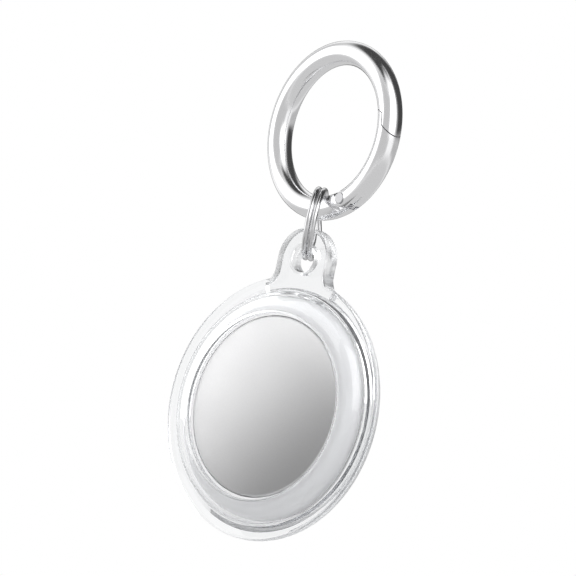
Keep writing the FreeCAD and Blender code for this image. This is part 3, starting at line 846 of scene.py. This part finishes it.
LAMP_REACH = 0.55
LAMPS = (
    Lamp("right_lamp", 66, 36, (0.46, 0.55), 1.9),
    Lamp("left_lamp", 304, 10, (0.44, 0.5), 0.6, mirrored=True),
    Lamp("upper_lamp", 330, 50, (0.5, 0.5), 1.6),
    Lamp("side_lamp", 280, 20, (0.4, 0.5), 1.8),
    Lamp("front_lamp", 30, 4, (0.5, 0.24), 0.6),
    Lamp("back_lamp", 172, 30, (0.5, 0.4), 2.6),
)
CARDS = (
    Card("right_glow", (28, 104), (2, 70), 2.6, (0.35, 0.35, 0.35, 0.35), reach=0.6),
    Card("ground_card", (0, 360), (-90, -8), 0.62, (0, 0, 0, 0.2)),
    Card("low_card", (96, 226), (-16, 8), 0.5, (0.15, 0.15, 0.3, 0.4)),
    Card("dark_card", (82, 216), (-3, 90), 0.06, (0.34, 0.22, 0.17, 0)),
    Card("top_card", (100, 388), (40, 90), 0.06, (0.12, 0.1, 0.36, 0)),
    Card("cap_card", (-8, 100), (64, 90), 0.25, (0.15, 0.25, 0.6, 0), reach=0.68),
    Card("front_card", (322, 416), (-22, 52), 0.58, (0.17, 0.37, 0.2, 0.2)),
    Card("step_card", (10, 60), (-20, 24), 0.6, (0.2, 0.2, 0.2, 0.4)),
    Card("left_card", (246, 290), (-12, 58), 0.62, (0.3, 0.3, 0.3, 0.3)),
    Card("back_card", (190, 250), (-26, 34), 0.1, (0.3, 0.3, 0.3, 0.3)),
    Card("backdrop", (0, 360), (-90, 90), 0.96, (0, 0, 0, 0), through=True, reach=0.75),
    Card("flags", (270, 530), (-70, 70), 0.45, (0.15, 0.15, 0.2, 0.2), through=True),
)

# The flat card in front of the steel cover.
DISC_CARD_SLOPE = (0.84, 0.545)
DISC_CARD_GAP = 12.0 * MM
DISC_CARD_SHIFT = 2.5 * MM
DISC_CARD_HALF = 16.0 * MM
DISC_CARD_GREY = 0.14
DISC_CARD_FEATHERS = (0.85, 0.1, 0, 0.2)

# The floor's greys as it lights the object and as the camera sees it, where it glows as well.
FLOOR_REACH = 1.5
FLOOR_PALE = (0.88, 0.92)
FLOOR_SEEN = (0.29, 0.31)
FLOOR_GLOW = 0.62
FLOOR_ROUGHNESS = 0.6


def grey_colour(value):
    """An even grey for a colour socket."""
    return (value, value, value, 1.0)


def picture_axes(values):
    """The picture's right, up and back directions."""
    azimuth, elevation = values.azimuth, values.elevation
    level = Vector((math.cos(azimuth), math.sin(azimuth), 0.0))
    back = Vector(
        (
            math.sin(azimuth) * math.cos(elevation),
            -math.cos(azimuth) * math.cos(elevation),
            math.sin(elevation),
        )
    )
    upright = back.cross(level)
    right = level * math.cos(values.lean) + upright * math.sin(values.lean)
    up = upright * math.cos(values.lean) - level * math.sin(values.lean)
    return right, up, back


def add_camera(values):
    """The camera at the photograph's angle and scale."""
    right, up, back = picture_axes(values)
    aim = CASE_MIDDLE + right * values.aim_right + up * values.aim_up
    data = bpy.data.cameras.new("camera")
    data.sensor_fit = "HORIZONTAL"
    data.lens = data.sensor_width * values.distance / values.picture_width
    camera = bpy.data.objects.new("camera", data)
    bpy.context.scene.collection.objects.link(camera)
    turn = Matrix((right, up, back)).transposed().to_4x4()
    camera.matrix_world = Matrix.Translation(aim + back * values.distance) @ turn
    bpy.context.scene.camera = camera
    return aim


def add_world(values):
    """An even world, white where it is seen, mirrored or seen through."""
    world = bpy.data.worlds.new("studio")
    world.use_nodes = True
    world.node_tree.nodes.clear()
    tree = Tree(world.node_tree)
    path = tree.add("ShaderNodeLightPath").outputs
    seen = tree.math("MAXIMUM", path["Is Camera Ray"], path["Is Glossy Ray"])
    seen = tree.math("MAXIMUM", seen, path["Is Transmission Ray"])
    strength = tree.add(
        "ShaderNodeMapRange", Value=seen, To_Min=values.ambient, To_Max=1.0
    )
    sky = tree.add("ShaderNodeBackground", Color=WHITE, Strength=strength.outputs[0])
    tree.add("ShaderNodeOutputWorld", Surface=sky.outputs[0])
    bpy.context.scene.world = world


def direction(azimuth, elevation):
    """A unit direction from the object; azimuth runs from the front to the right."""
    turn, rise = math.radians(azimuth), math.radians(elevation)
    level = Vector((math.sin(turn), -math.cos(turn), 0.0))
    return level * math.cos(rise) + UP * math.sin(rise)


def add_lamp(aim, lamp):
    """One lamp of the list, facing the aim and hidden from the camera."""
    way = direction(lamp.azimuth, lamp.elevation)
    data = bpy.data.lights.new(lamp.name, "AREA")
    data.shape = "RECTANGLE"
    data.size, data.size_y = lamp.sides
    data.energy = lamp.radiance * math.pi * data.size * data.size_y
    piece = bpy.data.objects.new(lamp.name, data)
    bpy.context.scene.collection.objects.link(piece)
    piece.location = aim + way * LAMP_REACH
    piece.rotation_mode = "QUATERNION"
    piece.rotation_quaternion = (-way).to_track_quat("-Z", "Y")
    piece.visible_camera = False
    piece.visible_glossy = lamp.mirrored


def add_card(name, point_at, grey, feathers, through, cells=24):
    """A studio card with soft edges, which shows in polish, or else through clear plastic.

    point_at gives its points for two shares from nothing to one, and feathers are the widths of
    its left, right, lower and upper soft edges as shares. It puts no light on matt surfaces.
    """
    mesh = bpy.data.meshes.new(name)
    made = bmesh.new()
    layer = made.loops.layers.uv.new("UVMap")
    shares = [index / cells for index in range(cells + 1)]
    rows = [[made.verts.new(point_at(u, v)) for u in shares] for v in shares]
    for row in range(cells):
        for column in range(cells):
            spots = ((row, column), (row, column + 1), (row + 1, column + 1), (row + 1, column))
            face = made.faces.new([rows[r][c] for r, c in spots])
            for loop, (r, c) in zip(face.loops, spots):
                loop[layer].uv = (shares[c], shares[r])
    made.to_mesh(mesh)
    made.free()
    card = mesh_piece(name, mesh)
    material = bpy.data.materials.new(name)
    material.use_nodes = True
    material.node_tree.nodes.clear()
    tree = Tree(material.node_tree)
    spot = tree.add("ShaderNodeSeparateXYZ", Vector=tree.add("ShaderNodeUVMap").outputs[0])
    left, right, lower, upper = feathers
    matt_turns = tree.add("ShaderNodeLightPath").outputs["Diffuse Depth"]
    cover = tree.math("LESS_THAN", matt_turns, 0.5)
    for axis, first, last in (("X", left, right), ("Y", lower, upper)):
        here = spot.outputs[axis]
        if first:
            cover = tree.math("MULTIPLY", cover, tree.spread(here, 0.0, 1.0, 0.0, first))
        if last:
            cover = tree.math("MULTIPLY", cover, tree.spread(here, 1.0, 0.0, 1.0 - last, 1.0))
    paint = tree.add("ShaderNodeEmission", Color=grey_colour(grey), Strength=1.0)
    open_air = tree.add("ShaderNodeBsdfTransparent")
    mix = tree.add("ShaderNodeMixShader")
    for socket, value in zip(mix.inputs, (cover, open_air.outputs[0], paint.outputs[0])):
        tree.feed(socket, value)
    tree.add("ShaderNodeOutputMaterial", Surface=mix.outputs[0])
    mesh.materials.append(material)
    card.visible_camera = False
    card.visible_diffuse = False
    card.visible_shadow = False
    card.visible_glossy = not through
    card.visible_transmission = through


def far_card(aim, card):
    """One card of the list, seen from the aim at its azimuths and elevations."""
    azimuth, last_azimuth = card.azimuths
    elevation, last_elevation = card.elevations

    def point_at(u, v):
        way = direction(
            azimuth + (last_azimuth - azimuth) * u, elevation + (last_elevation - elevation) * v
        )
        return aim + way * card.reach

    add_card(card.name, point_at, card.grey, card.feathers, card.through)


def disc_card(values):
    """A flat card that the steel cover mirrors, darker towards the cover's lower right."""
    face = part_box("battery_cover")[0].y
    cover = Vector((CASE_MIDDLE.x, face, CASE_MIDDLE.z))
    way = direction(-math.degrees(values.azimuth), -math.degrees(values.elevation))
    level = Vector((-way.y, way.x, 0.0)).normalized()
    rise = level.cross(way)
    if rise.z < 0.0:
        rise = -rise
    more, less = DISC_CARD_SLOPE
    along = level * more - rise * less
    across = level * less + rise * more
    centre = cover + way * DISC_CARD_GAP + along * DISC_CARD_SHIFT

    def point_at(u, v):
        return centre + (along * (2.0 * u - 1.0) + across * (2.0 * v - 1.0)) * DISC_CARD_HALF

    add_card("disc_card", point_at, DISC_CARD_GREY, DISC_CARD_FEATHERS, through=False)


def add_floor(values):
    """A wide pale floor below the hanging object."""
    mesh = bpy.data.meshes.new("floor")
    made = bmesh.new()
    bmesh.ops.create_grid(made, x_segments=12, y_segments=12, size=FLOOR_REACH)
    made.to_mesh(mesh)
    made.free()
    floor = bpy.data.objects.new("floor", mesh)
    bpy.context.scene.collection.objects.link(floor)
    floor.location.z = CAD_BOX[0][2] - values.floor_drop
    floor.visible_glossy = False
    floor.visible_transmission = False
    finish = Finish("floor", grey_colour(FLOOR_PALE[1])[:3])
    finish.set("Roughness", FLOOR_ROUGHNESS)
    tree = finish.tree
    drift = tree.effect(fine_grain(), Grain_Size=1.5 * MM, Drift_Size=60.0 * MM)["Drift"]
    seen = tree.add("ShaderNodeLightPath").outputs["Is Camera Ray"]
    pale, dim = (
        tree.blend(drift, grey_colour(low), grey_colour(high))
        for low, high in (FLOOR_PALE, FLOOR_SEEN)
    )
    finish.set("Base Color", tree.blend(seen, pale, dim))
    finish.set("Emission Color", WHITE)
    finish.set("Emission Strength", tree.math("MULTIPLY", seen, FLOOR_GLOW))
    mesh.materials.append(finish.material)


class TAG_HOLDER_OT_stage(bpy.types.Operator):
    """Set up the floor, the light, the cards and the camera"""

    bl_idname = "tag_holder.stage"
    bl_label = "Stage and camera"

    def execute(self, context):
        values = context.scene.tag_holder_stage
        context.scene.view_settings.view_transform = "Standard"
        for turns in ("max_bounces", "glossy_bounces", "transmission_bounces"):
            setattr(context.scene.cycles, turns, LIGHT_BOUNCES)
        aim = add_camera(values)
        add_world(values)
        add_floor(values)
        for lamp in LAMPS:
            add_lamp(aim, lamp)
        for card in CARDS:
            far_card(aim, card)
        disc_card(values)
        return {"FINISHED"}


OPERATORS = (
    TAG_HOLDER_OT_spring_ring,
    TAG_HOLDER_OT_split_ring,
    TAG_HOLDER_OT_clear_case,
    TAG_HOLDER_OT_tag_shell,
    TAG_HOLDER_OT_steel_cover,
    TAG_HOLDER_OT_coin_cell,
    TAG_HOLDER_OT_circuit,
    TAG_HOLDER_OT_sounder,
    TAG_HOLDER_OT_stage,
)


class TAG_HOLDER_PT_panel(bpy.types.Panel):
    """Lists the steps that dress the tag holder"""

    bl_idname = "TAG_HOLDER_PT_panel"
    bl_label = "Tag Holder"
    bl_space_type = "VIEW_3D"
    bl_region_type = "UI"
    bl_category = "Tag Holder"

    def draw(self, context):
        for operator in OPERATORS:
            self.layout.operator(operator.bl_idname)


GROUPS = {
    "tag_holder_finishes": HolderFinishes,
    "tag_holder_link": HolderLink,
    "tag_holder_stage": HolderStage,
}
CLASSES = (*GROUPS.values(), *OPERATORS, TAG_HOLDER_PT_panel)


def register():
    for cls in CLASSES:
        bpy.utils.register_class(cls)
    for name, cls in GROUPS.items():
        setattr(bpy.types.Scene, name, PointerProperty(type=cls))


def unregister():
    for name in GROUPS:
        delattr(bpy.types.Scene, name)
    for cls in reversed(CLASSES):
        bpy.utils.unregister_class(cls)


def main():
    register()
    bpy.ops.tag_holder.spring_ring()
    bpy.ops.tag_holder.split_ring()
    bpy.ops.tag_holder.clear_case()
    bpy.ops.tag_holder.tag_shell()
    bpy.ops.tag_holder.steel_cover()
    bpy.ops.tag_holder.coin_cell()
    bpy.ops.tag_holder.circuit()
    bpy.ops.tag_holder.sounder()
    bpy.ops.tag_holder.stage()


if __name__ == "__main__":
    main()
